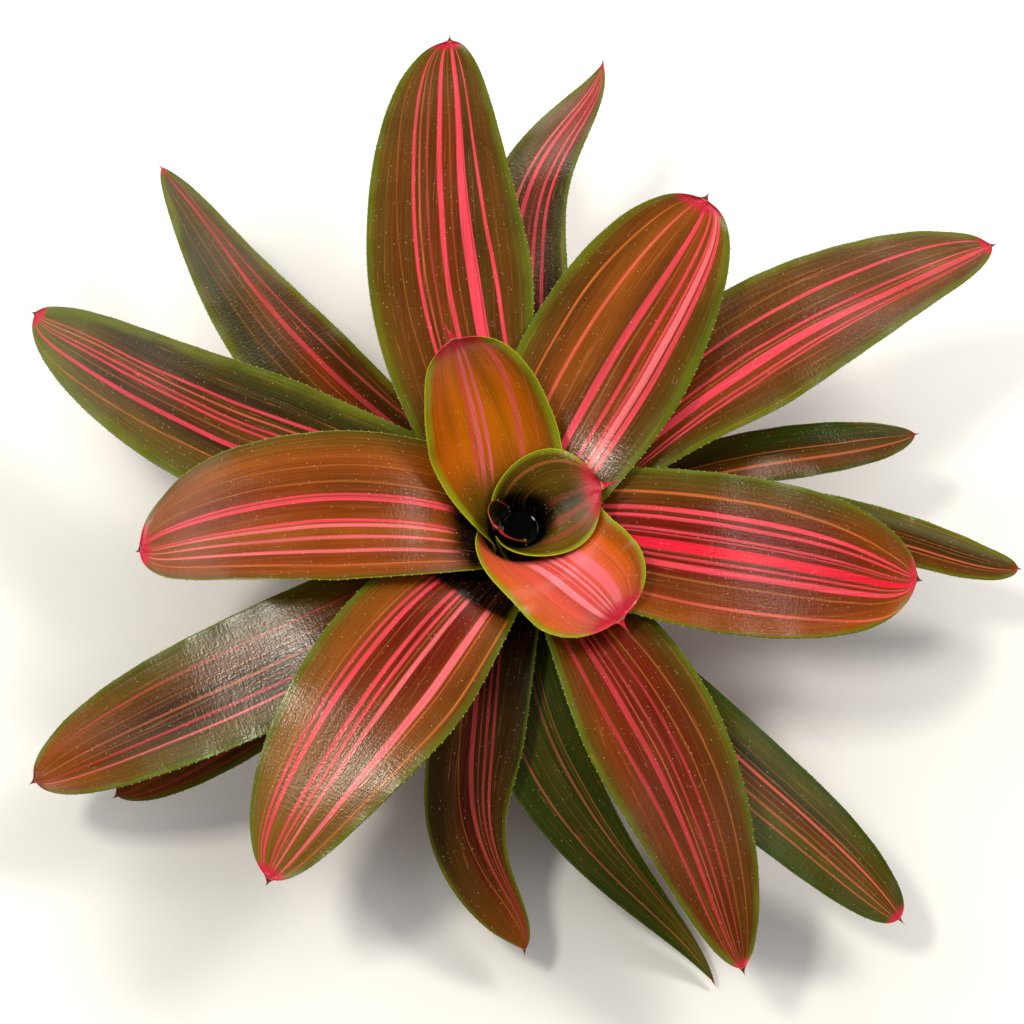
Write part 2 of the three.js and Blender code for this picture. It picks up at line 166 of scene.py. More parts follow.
leaves = [
    # near black middle of the ground and foot: painted shade deep in the cup
    dict(node="leaf_01", level=-1.2, wider=3.3, heading=205, turn=20, reach=15, tipHeight=113,
         tipSlope=75, width=30, neck=0.9, wrap=1.45, widest=0.35, bluntness=(1.6, 0.8), beak=1.2,
         spine=3,
         slot="inner_leaf", ground=("darkOlive", "darkOlive", "paintedShadeBlack", "darkOlive", "darkOlive"),
         margin=0.8, marginTone="rust", edge="rust", foot="paintedShadeBlack", footSpan=(0.04, 0.9), blush=3,
         stripes=[]),
    # near black foot: painted shade of the cup's inside
    dict(node="leaf_02", level=0.2, wider=3.4, heading=14, reach=40.5, tipHeight=118, tipSlope=18,
         width=77, neck=1, wrap=3.1, widest=0.3, bluntness=(2, 0.75), flatten=(0.2, 1), spine=8,
         hook=0.2, throw=0.3,
         slot="inner_leaf",
         ground=("olive", "olive", "olive", "darkOlive", "olive", "olive", "olive"), margin=4,
         marginTone="lime", edge="yellowEdge", foot="paintedShadeBlack", footSpan=(0.08, 0.5),
         crown="roseFlesh", crownFrom=0.55, crownShare=0.6, blush=13, spineTone="tip", gloss=0.24,
         stripes=[(-0.5, 0.13, "rose", 0.45), (-0.2, 0.12, "rose", 0.4), (0.1, 0.1, "rose", 0.25),
                  (0.72, 0.06, "ochre", 0.6)]),
    dict(node="leaf_03", level=1.8, wider=1.7, heading=110, turn=6, turnPower=2, reach=74,
         tipHeight=162, tipSlope=66, width=66, neck=0.9, widest=0.5, trim=0.2,
         bluntness=(2.6, 0.45), rise=(0.12, 0.5), spine=8, hook=-0.75, throw=0.75,
         slot="inner_leaf", ground=("olive", "amber", "gold", "gold", "gold", "amber", "amber"),
         margin=4.5, marginTone="lime", edge="yellowEdge", foot="olive", footSpan=(0.12, 0.5),
         crown="roseFlesh", crownFrom=0.62, blush=13, spineTone="tip", gloss=0.28, lean=-0.55,
         stripes=[(-0.72, 0.012, "orange", 0.6), (-0.45, 0.1, "salmon", 0.9),
                  (-0.33, 0.012, "orange", 0.7), (0.045, 0.045, "light", 0.95),
                  (0.11, 0.012, "red", 0.6), (0.18, 0.07, "light", 0.9),
                  (0.275, 0.04, "pink", 0.9), (0.5, 0.015, "orange", 0.5)]),
    dict(node="leaf_04", level=3, wider=1.2, heading=-59, turn=9, reach=72, tipHeight=110,
         tipSlope=-38, width=66, neck=1.2, wrap=2.7, widest=0.5, bluntness=(3.2, 0.5),
         rise=(0.38, 0.5), spine=8, hook=0.5, throw=0.35,
         slot="inner_leaf",
         ground=("amber", "salmonFlesh", "rosePink", "rosePink", "salmonFlesh", "orangeFlesh", "sienna"),
         margin=3.5, marginTone="lime", edge="yellowEdge", foot="salmonFlesh", footSpan=(0.04, 0.4),
         crown="roseFlesh", crownFrom=0.7, crownShare=0.5, blush=11, spineTone="tip", gloss=0.27,
         stripes=[(-0.67, 0.014, "orange", 0.8), (-0.27, 0.1, "palePink", 1),
                  (-0.13, 0.014, "palePink", 0.7), (-0.04, 0.045, "palePink", 0.9),
                  (0.05, 0.035, "palePink", 0.9), (0.24, 0.2, "light", 1),
                  (0.57, 0.025, "salmon", 0.9)]),
    dict(node="leaf_05", level=4, heading=178.5, turn=5.3, turnPower=3, reach=183, tipHeight=93,
         tipSlope=-32, width=79, trim=0.2, bluntness=(2.8, 0.47), beak=2.8,
         ground=("olive", "sienna", "rust", "rust", "sienna", "rust", "sienna"), margin=3.5,
         marginTone="olive", edge="lime", foot="paintedShadeBlack", footSpan=(0.14, 0.25), blush=8, swing=-1.1,
         stripes=[(-0.53, 0.012, "ochre", 0.6), (-0.31, 0.02, "ochre", 0.7),
                  (-0.135, 0.03, "pink", 1), (-0.075, 0.051, "pink", 1),
                  (0.22, 0.034, "pink", 0.95), (0.285, 0.043, "light", 0.9),
                  (0.44, 0.038, "light", 0.9), (0.62, 0.043, "light", 0.95),
                  (0.81, 0.025, "orange", 0.8)]),
    dict(node="leaf_06", level=5, heading=63, turn=-2.8, reach=186, tipHeight=132, tipSlope=10,
         width=85, trim=-0.15, bluntness=(2.6, 0.45), beak=2.8,
         ground=("moss", "umber", "rust", "umber", "sienna", "umber", "olive"), margin=5,
         foot="umber", footSpan=(0.04, 0.3), blush=10, swing=-0.8,
         stripes=[(-0.6, 0.06, "pink", 1), (-0.555, 0.01, "dark", 0.7),
                  (-0.505, 0.085, "light", 0.95), (-0.43, 0.03, "pink", 0.95),
                  (-0.3, 0.043, "pink", 0.9), (-0.15, 0.01, "ochre", 0.7),
                  (-0.05, 0.093, "pink", 1), (0.2, 0.01, "ochre", 0.6),
                  (0.38, 0.038, "salmon", 0.95), (0.67, 0.022, "orange", 0.9)]),
    dict(node="leaf_07", level=6, heading=-12.3, turn=5.3, turnPower=3, reach=193, tipHeight=84,
         tipSlope=-22, width=83, beak=2.8,
         ground=("sienna", "rust", "maroon", "maroon", "maroon", "umber", "moss"), margin=2.5,
         foot="darkUmber", footSpan=(0.04, 0.3), blush=4, swing=-2,
         stripes=[(-0.7, 0.034, "salmon", 0.95), (-0.42, 0.02, "ochre", 0.8),
                  (-0.27, 0.076, "pink", 1), (-0.16, 0.03, "pink", 0.85),
                  (-0.09, 0.014, "rose", 0.8), (-0.02, 0.128, "red", 1),
                  (0.115, 0.015, "pink", 0.8), (0.165, 0.03, "pink", 0.9),
                  (0.33, 0.043, "pink", 0.9), (0.445, 0.06, "pink", 1),
                  (0.67, 0.03, "orange", 0.85)]),
    # its near black foot is painted shade in the throat beside leaf_04 and leaf_05; its maroon base turning
    # khaki toward the tip is partly tissue colour, partly painted shade on the base and painted light on
    # the outer part
    dict(node="leaf_08", level=7, heading=231.5, turn=5, reach=208, tipHeight=84, tipSlope=-25,
         width=79, neck=0.66, trim=0.3, bluntness=(2.3, 0.54), beak=2.8,
         ground=("olive", "sienna", "maroon", "maroon", "maroon", "rust", "olive"), margin=4,
         foot="paintedShadeBlack", footSpan=(0.24, 0.268), crown="khaki", crownFrom=0.32, crownShare=0.85,
         blush=8, lean=-0.22, swing=-0.5,
         stripes=[(-0.58, 0.014, "orange", 0.7), (-0.49, 0.038, "pink", 1),
                  (-0.39, 0.06, "pink", 1), (-0.28, 0.012, "ochre", 0.6),
                  (-0.1, 0.053, "pink", 0.95), (0.01, 0.038, "pink", 0.95),
                  (0.075, 0.012, "orange", 0.7), (0.16, 0.06, "light", 1), (0.52, 0.09, "light", 1),
                  (0.61, 0.014, "orange", 0.9), (0.85, 0.025, "orange", 0.85)]),
    dict(node="leaf_09", level=8, heading=115.5, turn=-17.8, reach=268, tipHeight=120, tipSlope=2,
         width=84, neck=0.6, widest=0.62, trim=-0.45, bluntness=(2.6, 0.47), beak=2.4,
         ground=("moss", "umber", "darkUmber", "russet", "umber", "umber", "olive"), margin=4.5,
         crown="olive", blush=6, lean=0.55,
         stripes=[(-0.575, 0.045, "pink", 1), (-0.35, 0.012, "dark", 0.6), (-0.3, 0.143, "pink", 1),
                  (-0.12, 0.012, "ochre", 0.6), (0.01, 0.06, "pink", 1),
                  (0.175, 0.025, "rose", 0.8), (0.27, 0.016, "salmon", 0.8),
                  (0.345, 0.038, "pink", 0.95), (0.55, 0.012, "ochre", 0.5)]),
    dict(node="leaf_10", level=9, heading=-57, turn=-6.5, turnPower=1.8, reach=231, tipHeight=52,
         tipSlope=-28, width=66, neck=0.42, widest=0.58, trim=-0.3, bluntness=(1.9, 0.57), beak=2.0,
         ground=("moss", "rust", "maroon", "maroon", "maroon", "umber", "moss"), margin=3.5,
         foot="darkUmber", crown="umber", crownFrom=0.3, crownShare=0.8, blush=4, lean=0.6,
         swing=-1.5,
         stripes=[(-0.52, 0.06, "crimson", 0.95), (-0.23, 0.083, "crimson", 1),
                  (-0.11, 0.015, "salmon", 0.8), (0, 0.034, "rose", 0.9),
                  (0.18, 0.034, "crimson", 0.85), (0.31, 0.02, "ochre", 0.8),
                  (0.55, 0.018, "ochre", 0.8)]),
    dict(node="leaf_11", level=10, heading=165.3, turn=-12.5, turnPower=2.1, reach=278,
         tipHeight=78, tipSlope=-15, width=73, trim=-0.42, beak=2.2,
         ground=("moss", "darkOlive", "darkUmber", "umber", "darkUmber", "olive", "moss"), margin=6,
         marginTone="leafGreen", crown="leafGreen", crownFrom=0.75, crownShare=0.6, blush=7,
         lean=0.5, swing=1.5,
         stripes=[(-0.395, 0.041, "deepPink", 0.95), (-0.275, 0.025, "salmon", 0.85),
                  (-0.155, 0.03, "deepPink", 0.9), (-0.065, 0.034, "deepPink", 0.95),
                  (0.06, 0.012, "ochre", 0.6), (0.215, 0.06, "deepPink", 1),
                  (0.475, 0.02, "ochre", 0.85)]),
    dict(node="leaf_12", level=11, heading=42, turn=-9.2, turnPower=1.6, reach=286, tipHeight=98,
         tipSlope=-6, width=72, neck=0.55, widest=0.65, trim=-0.52, bluntness=(2.4, 0.52), beak=2.0,
         ground=("moss", "umber", "rust", "russet", "umber", "umber", "olive"), margin=4,
         crown="olive", blush=6, lean=0.7,
         stripes=[(-0.525, 0.03, "pink", 0.9), (-0.455, 0.034, "pink", 0.9),
                  (-0.265, 0.128, "pink", 1), (-0.16, 0.012, "orange", 0.7),
                  (-0.085, 0.038, "pink", 0.9), (0.08, 0.012, "ochre", 0.6),
                  (0.285, 0.043, "pink", 0.95), (0.5, 0.012, "ochre", 0.6)]),
    dict(node="leaf_13", level=12, heading=216, turn=-10.1, reach=260, tipHeight=47, tipSlope=-22,
         width=62, beak=1.8,
         ground=("moss", "olive", "umber", "darkUmber", "darkUmber", "olive", "moss"), margin=3,
         crown="sienna", crownShare=0.8, blush=6, tipTone="rust", lean=-0.05,
         stripes=[(-0.49, 0.034, "crimson", 0.85), (-0.2, 0.012, "ochre", 0.6),
                  (0.03, 0.038, "coral", 0.8), (0.2, 0.012, "ochre", 0.6),
                  (0.34, 0.045, "crimson", 0.9), (0.53, 0.034, "light", 0.85)]),
    dict(node="leaf_14", level=13, heading=-101.5, turn=12.2, turnPower=8, reach=190, tipHeight=24,
         tipSlope=-30, width=46, widest=0.65, trim=0.6, bluntness=(2.6, 0.6), beak=1.5,
         slot="lower_leaf",
         ground=("darkOlive", "darkUmber", "maroonDark", "darkUmber", "darkUmber", "darkOlive"),
         margin=2, foot="paintedShadeBlack", footSpan=(0.04, 0.5), crown="sienna", crownShare=0.6, blush=3,
         tipTone="rust", lean=0.75,
         stripes=[(-0.4, 0.02, "ochre", 0.6), (-0.13, 0.102, "rose", 0.95),
                  (0.03, 0.02, "rose", 0.8), (0.16, 0.06, "crimson", 0.75),
                  (0.31, 0.06, "rose", 0.95)]),
    dict(node="leaf_15", level=14, heading=90, turn=-9.2, turnPower=8, reach=278, tipHeight=88,
         tipSlope=0, width=52, widest=0.45, roll=-15, bluntness=(1.8, 0.8), beak=0.7,
         slot="lower_leaf", ground=("fern", "darkUmber", "russet", "umber", "greyOlive", "moss"),
         margin=3, crown="rose", crownShare=0.35, blush=6, gloss=0.24, lean=-0.3,
         stripes=[(-0.435, 0.068, "pink", 0.9), (-0.235, 0.068, "pink", 0.95),
                  (-0.08, 0.02, "rose", 0.8), (0.135, 0.102, "pink", 0.95),
                  (0.345, 0.068, "light", 0.85)]),
    dict(node="leaf_16", level=15, heading=-56.5, turn=11.9, reach=254, tipHeight=34, tipSlope=-22,
         width=46, neck=0.6, bluntness=(2.6, 0.45), beak=1.0,
         slot="lower_leaf", ground=("fern", "fern", "moss", "umber", "darkOlive", "moss", "fern"),
         margin=3, marginTone="fern", foot="darkOlive", crown="olive", blush=5,
         stripes=[(-0.45, 0.043, "coral", 0.85), (-0.21, 0.06, "coral", 0.85),
                  (-0.06, 0.015, "ochre", 0.7), (0.08, 0.012, "ochre", 0.7),
                  (0.21, 0.06, "salmon", 0.95), (0.32, 0.015, "ochre", 0.7),
                  (0.5, 0.012, "ochre", 0.6)]),
    dict(node="leaf_17", level=16, heading=145.3, turn=-14.7, turnPower=1.5, reach=292,
         tipHeight=68, tipSlope=-6, width=54, widest=0.45, trim=-0.5, bluntness=(2.2, 0.62),
         beak=0.7,
         slot="lower_leaf",
         ground=("umber", "darkUmber", "russet", "darkUmber", "darkOlive", "moss"), margin=4,
         crown="greyOlive", crownFrom=0.4, crownShare=0.5, blush=3, gloss=0.22, lean=0.5, swing=1.5,
         stripes=[(-0.6, 0.043, "rose", 0.85), (-0.29, 0.093, "crimson", 0.85),
                  (-0.1, 0.012, "ochre", 0.6), (0.1, 0.012, "ochre", 0.6),
                  (0.35, 0.012, "ochre", 0.5)]),
    dict(node="leaf_18", level=17, heading=26, turn=-7.2, reach=213, tipHeight=57, tipSlope=-15,
         width=30, neck=0.6, widest=0.65, bluntness=(2.6, 0.6), beak=0.7, spine=4,
         slot="lower_leaf", ground=("olive", "umber", "umber", "darkOlive", "fern", "fern"),
         margin=2.5, marginTone="fern", foot="paintedShadeBlack", crown="greyOlive", blush=3, tipTone="rust",
         gloss=0.26,
         stripes=[(-0.34, 0.102, "coral", 0.9), (0.09, 0.043, "ochre", 0.8)]),
    dict(node="leaf_19", level=18, heading=211, turn=-1, reach=228, tipHeight=26, tipSlope=-20,
         width=50, bluntness=(2.6, 0.6), beak=1.2, spine=4,
         slot="lower_leaf", ground=("moss", "umber", "darkUmber", "umber", "umber", "moss"),
         margin=3, foot="paintedShadeBlack", blush=4, tipTone="rust",
         stripes=[(0.3, 0.043, "rose", 0.7), (0.62, 0.076, "rose", 0.8), (0.82, 0.034, "rose", 0.7)]),
    dict(node="leaf_20", level=19, heading=-92, turn=27, turnPower=1.45, reach=222, tipHeight=4,
         tipSlope=-25, width=42, widest=0.4, trim=0.6, bluntness=(1.8, 0.8), beak=0.7, spine=4,
         slot="lower_leaf", ground=("fern", "fern", "fern", "moss", "fern", "fern", "fern"),
         margin=3, marginTone="fern", foot="fern", crown="moss", blush=3, tipTone="rust",
         stripes=[(-0.4, 0.05, "coral", 0.8), (-0.1, 0.014, "ochre", 0.6), (0.1, 0.012, "ochre", 0.5),
                  (0.33, 0.06, "coral", 0.85), (0.45, 0.012, "ochre", 0.7), (0.53, 0.03, "ochre", 0.8)]),
    dict(node="leaf_21", level=20, heading=9, turn=-9.4, turnPower=2.5, reach=250, tipHeight=47,
         tipSlope=-15, width=29, bluntness=(3.2, 0.45), beak=0.9, spine=4,
         slot="lower_leaf",
         ground=("umber", "umber", "darkUmber", "darkUmber", "greyOlive", "moss"), margin=2.5,
         foot="paintedShadeBlack", crown="greyOlive", crownShare=0.3, blush=3, tipTone="rust", gloss=0.2,
         stripes=[(-0.42, 0.03, "coral", 0.8), (-0.25, 0.07, "salmon", 0.85),
                  (0.02, 0.02, "ochre", 0.6)]),
]


def ease(a, b, x):
    # 0 before a, 1 after b, and t^2 (3 - 2t) between them
    t = np.clip((x - a) / (b - a), 0, 1)
    return t * t * (3 - 2 * t)


def curvePoint(points, t):
    # cubic curve: (1-t)^3 p0 + 3(1-t)^2 t p1 + 3(1-t) t^2 p2 + t^3 p3, for a whole array of t
    s = 1 - t
    weights = np.stack([s ** 3, 3 * s * s * t, 3 * s * t * t, t ** 3], -1)
    return weights @ np.array(points, float)


def stepFrom(point, slope, length):
    # the point a length away at a slope, in degrees above the horizon
    angle = math.radians(slope)
    return (point[0] + math.cos(angle) * length, point[1] + math.sin(angle) * length)


def stemRadius(height):
    # straight taper from the foot radius to the top radius
    r = rosette
    return r["stemFootRadius"] - (r["stemFootRadius"] - r["stemTopRadius"]) * height / r["stemHeight"]


def leafCurves(leaf):
    # sheath from the stem to the throat, blade from the throat to the tip, in (radius, height)
    r, level = rosette, leaf["level"]
    rootHeight = r["rootLowest"] + r["rootPitch"] * (r["lastLevel"] - level)
    root = (stemRadius(rootHeight) + r["rootGap"] + r["sheathThickness"] / 2, rootHeight)
    inner = min(level, r["throatTurnLevel"])
    outer = max(level - r["throatTurnLevel"], 0)
    radius = r["throatRadiusInnermost"] + r["throatPitchInner"] * inner + r["throatPitchOuter"] * outer
    throat = (radius + leaf["wider"], r["throatHighest"] - r["throatDrop"] * level)
    slope = r["throatSlopeInnermost"] - r["throatSlopeDrop"] * level
    climb = math.dist(root, throat)
    tip = (leaf["reach"], leaf["tipHeight"])
    span = math.dist(throat, tip)
    start = min(leaf["rise"][0] * span, r["longestRise"])
    sheath = [root, stepFrom(root, r["rootSlopeInnermost"] - level, climb * 0.32),
              stepFrom(throat, slope, -climb * 0.35), throat]
    blade = [throat, stepFrom(throat, slope, start),
             stepFrom(tip, leaf["tipSlope"], -span * leaf["rise"][1]), tip]
    return sheath, blade


def bladeShare(along):
    # 0 at the throat, 1 at the tip, below 0 in the sheath
    share = rosette["sheathShare"]
    return (along - share) / (1 - share)


def middleLine(leaf, curves, along):
    # radius, height and heading of the middle of the leaf at places along it, 0 to 1
    u = np.clip(bladeShare(along), 0, 1)
    low = curvePoint(curves[0], np.clip(along / rosette["sheathShare"], 0, 1))
    high = curvePoint(curves[1], u)
    place = np.where((along < rosette["sheathShare"])[:, None], low, high)
    heading = np.radians(leaf["heading"] + leaf["turn"] * ease(0, 1, u) ** leaf["turnPower"])
    return place[:, 0], place[:, 1], heading


def middlePoint(leaf, curves, along):
    # the middle line in space: radius times the cosine and sine of the heading, and height
    radius, height, heading = middleLine(leaf, curves, along)
    return np.stack([radius * np.cos(heading), radius * np.sin(heading), height], -1)


def unit(v):
    # vectors divided by their lengths
    return v / np.linalg.norm(v, axis=-1, keepdims=True)


def halfWidth(leaf, curves, along):
    # clasping root eased to the neck, neck eased to the widest place, then W (1 - x^p)^q
    u = bladeShare(along)
    widest = leaf["width"] / 2
    share = rosette["sheathShare"]
    rootHalf = (rosette["rootWrapInnermost"] - rosette["rootWrapDrop"] * leaf["level"]) * curves[0][0][0]
    neck = min(leaf["neck"] * widest, leaf["wrap"] * curves[1][0][0])
    sheath = rootHalf + (neck - rootHalf) * ease(-share / (1 - share), 0, u)
    opening = neck + (widest - neck) * ease(0, leaf["widest"], u)
    x = np.clip((u - leaf["widest"]) / (1 - leaf["widest"]), 0, 1)
    p, q = leaf["bluntness"]
    closing = np.maximum(leaf["beak"], widest * (1 - x ** p) ** q)
    return np.where(u < 0, sheath, np.where(u < leaf["widest"], opening, closing))


def leafFrame(leaf, curves, along):
    # unit vectors of the middle line: forward, to the left, and out of the upper face
    step = 1e-3
    ahead = middlePoint(leaf, curves, np.minimum(along + step, 1))
    forward = unit(ahead - middlePoint(leaf, curves, np.maximum(along - step, 0)))
    heading = middleLine(leaf, curves, along)[2]
    side = np.stack([-np.sin(heading), np.cos(heading), 0 * heading], -1)
    side = unit(side - (side * forward).sum(-1, keepdims=True) * forward)
    return forward, side, np.cross(forward, side)


def trimming(leaf, u, across):
    # how much of the half width is left on each side: 1 - trim * ease on the trimmed side
    cut = abs(leaf["trim"]) * ease(*rosette["trimShares"], u)[:, None]
    return 1 - cut * (across[None] * leaf["trim"] > 0)


def leafSurface(leaf, curves, along, across):
    # middle surface on a grid: a round of the stem's axis in the sheath, blended by ease into
    # a shallow gutter, w sin(b a)/b sideways and w (1 - cos(b a))/b up, square to the middle
    radius, height, heading = middleLine(leaf, curves, along)
    forward, side, up = leafFrame(leaf, curves, along)
    u = np.clip(bladeShare(along), 0, 1)
    roll = np.radians(leaf["roll"] * ease(0, 1, u))[:, None]
    rolledSide = side * np.cos(roll) - up * np.sin(roll)
    rolledUp = up * np.cos(roll) + side * np.sin(roll)
    half = halfWidth(leaf, curves, along)[:, None]
    trimmed = trimming(leaf, u, across)
    bend = np.maximum(1e-3, rosette["followShare"] * half * np.abs(forward[:, 2:]) / radius[:, None])
    sideways = half * trimmed * np.sin(bend * across) / bend
    upward = half * trimmed * (1 - np.cos(bend * across)) / bend
    centre = np.stack([radius * np.cos(heading), radius * np.sin(heading), height], -1)[:, None]
    gutter = centre + rolledSide[:, None] * sideways[..., None] + rolledUp[:, None] * upward[..., None]
    turn = heading[:, None] + across * half / radius[:, None]
    level = np.broadcast_to(height[:, None], turn.shape)
    clasp = np.stack([radius[:, None] * np.cos(turn), radius[:, None] * np.sin(turn), level], -1)
    mix = ease(leaf["flatten"][0], leaf["flatten"][1], bladeShare(along))[:, None, None]
    return clasp * (1 - mix) + gutter * mix


def leafNormal(leaf, curves, along, across):
    # forward difference crossed with leftward difference: out of the upper face
    step = 2e-3
    later = leafSurface(leaf, curves, np.minimum(along + step, 0.999), across)
    sooner = leafSurface(leaf, curves, np.maximum(along - step, 0), across)
    left = leafSurface(leaf, curves, along, across + step)
    right = leafSurface(leaf, curves, along, across - step)
    return unit(np.cross(later - sooner, left - right))


def halfThickness(along, across, roundFrom):
    # half of the leaf's thickness, closed to nothing at the margins by a quarter ellipse
    r = rosette
    middle = r["bladeThickness"] + (r["edgeThickness"] - r["bladeThickness"]) * across ** 2
    opening = ease(r["sheathShare"], 0.5, along)[:, None] * (1 - ease(0.9, 1, along))[:, None]
    full = r["sheathThickness"] + (middle[None] - r["sheathThickness"]) * opening
    out = np.clip((np.abs(across) - roundFrom) / (1 - roundFrom), 0, 1)
    return full / 2 * np.sqrt(1 - out ** 2)[None]


# How finely a leaf is cut, and the size of its living irregularities, in mm
leafDetail = dict(
    sheathRows=14, bladeRows=112, spineRows=9, columns=35, roundFrom=0.985,
    swellHeight=0.4, swellLength=70, rimRipple=0.22, rippleLength=23,
    hoodHeight=2.0, hoodLength=9, keelHeight=0.9, keelLength=7, keelHalfWidth=2.4,
    needleRadius=0.45, toothPitch=5.2, toothJitter=0.3, toothHeight=(0.4, 0.8),
    toothBase=0.75, toothLean=0.55,
)


def swell(leaf, lengthMm, u, across, draw):
    # slow waves of the blade plus a shorter ripple that grows toward the margins, in mm
    d = leafDetail
    phase = draw.uniform(0, 2 * math.pi, 4)
    free = ease(0.25, 0.6, u)[:, None] * (1 - ease(0.93, 1, u))[:, None]
    s = lengthMm[:, None] * 2 * math.pi
    slow = np.sin(s / d["swellLength"] + phase[0] + 1.3 * across) * np.cos(2.1 * across + phase[1])
    short = np.sin(s / d["rippleLength"] + phase[2] + np.sign(across) * phase[3]) * np.abs(across) ** 6
    return free * (d["swellHeight"] * slow + d["rimRipple"] * short)


def tipLift(tipMm, acrossMm, across):
    # the hooded end: margins rise by hood * c^2 * exp(-(t / hoodLength)^2), and a keel runs
    # into the spine, keel * exp(-(t / keelLength)^2) * exp(-(x / keelHalfWidth)^2)
    d = leafDetail
    hood = d["hoodHeight"] * np.exp(-(tipMm / d["hoodLength"]) ** 2) * across ** 2
    keel = d["keelHeight"] * np.exp(-(tipMm / d["keelLength"]) ** 2)
    return hood + keel * np.exp(-(acrossMm / d["keelHalfWidth"]) ** 2)


def pickRows(table, lengthMm, place):
    # rows of a table of points or vectors, taken at places along the leaf in mm
    return np.stack([np.interp(place, lengthMm, table[:, k]) for k in range(3)], -1)


def toothRows(surface, normal, lengthMm, draw):
    # small hooked pyramids sunk in both margins: base ring, half-size middle ring, apex
    d = leafDetail
    points, rings = [], []
    whole = lengthMm[-1] - lengthMm[0]
    for column, nextColumn in ((0, 1), (-1, -2)):
        edge, inner = surface[:, column], surface[:, nextColumn]
        count = int(whole * 0.86 / d["toothPitch"])
        place = lengthMm[0] + whole * 0.12
        place = place + d["toothPitch"] * (np.arange(count) + draw.uniform(-1, 1, count) * d["toothJitter"])
        foot = pickRows(edge, lengthMm, place)
        forward = unit(pickRows(np.gradient(edge, axis=0), lengthMm, place))
        out = unit(pickRows(edge - inner, lengthMm, place))
        out = unit(out - (out * forward).sum(-1, keepdims=True) * forward)
        up = unit(pickRows(normal[:, column], lengthMm, place))
        height = draw.uniform(*d["toothHeight"], count)[:, None]
        corners = [(-1, -1), (1, -1), (1, 1), (-1, 1)]
        base = [foot - out * 0.25 + forward * a * d["toothBase"] / 2 + up * b * 0.28 for a, b in corners]
        lean = forward * d["toothLean"] * height * 0.35
        waist = [foot + out * height * 0.45 + lean + forward * a * d["toothBase"] * 0.24 + up * b * 0.14
                 for a, b in corners]
        apex = foot + out * height * 0.9 + forward * d["toothLean"] * height * 1.25 + up * 0.15 * height
        points.append(np.stack([*base, *waist, apex], 1).reshape(-1, 3))
        rings.append(count)
    return np.concatenate(points), rings


def toothFaces(start, rings):
    # nine points make one tooth: sides and foot as quads, point as four triangles; the two
    # margins turn opposite ways
    blocks, first = [], start
    quads = [[0, 1, 5, 4], [1, 2, 6, 5], [2, 3, 7, 6], [3, 0, 4, 7], [3, 2, 1, 0]]
    tips = [[4, 5, 8], [5, 6, 8], [6, 7, 8], [7, 4, 8]]
    for count, flip in zip(rings, (True, False)):
        at = first + 9 * np.arange(count)[:, None]
        blocks += [at + np.array(shape[::-1] if flip else shape) for shape in quads + tips]
        first += 9 * count
    return blocks


